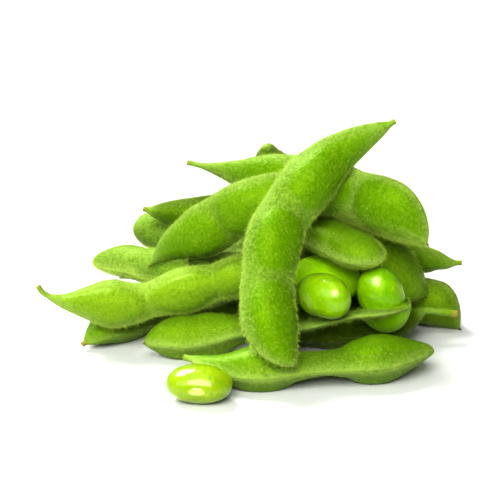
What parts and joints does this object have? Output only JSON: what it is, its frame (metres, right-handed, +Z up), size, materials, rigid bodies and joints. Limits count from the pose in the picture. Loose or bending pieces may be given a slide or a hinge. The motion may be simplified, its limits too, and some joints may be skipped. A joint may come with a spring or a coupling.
{
  "type": "edamame pod bundle",
  "caption": "Loose heap of fresh green soybean pods, bulging over their beans, with shelled beans in front and one pod split open round its bean.",
  "frame": {"origin": "centre of the heap's outline at the level of the table", "axes": "+Z up, +X along the heap's long side to the right, -Y towards the side with the loose bean"},
  "size_m": [0.105, 0.0878, 0.0574],
  "materials": {
    "pod": "downy leaf-green skin, stands in for a fresh vegetable pod",
    "bean": "moist, glossy yellow-green, stands in for a fresh bean"
  },
  "bodies": {
    "root": {"pod_front_tall": "pod", "pod_cross_left": "pod", "pod_cross_right": "pod", "pod_left_long": "pod", "pod_core_front": "pod", "pod_core_right": "pod", "pod_right_point": "pod", "pod_floor_left": "pod", "pod_floor_right": "pod", "pod_floor_front": "pod", "pod_floor_middle": "pod", "pod_back_left": "pod", "pod_upper_left": "pod", "pod_upper_left_dark": "pod", "pod_back_leaning": "pod", "pod_upper_back": "pod", "pod_floor_back": "pod", "pod_inner_middle": "pod", "pod_floor_inner": "pod", "pod_split": "pod", "bean_front": "bean", "bean_on_pods": "bean", "bean_in_split": "bean", "bean_behind": "bean"}
  },
  "joints": []
}
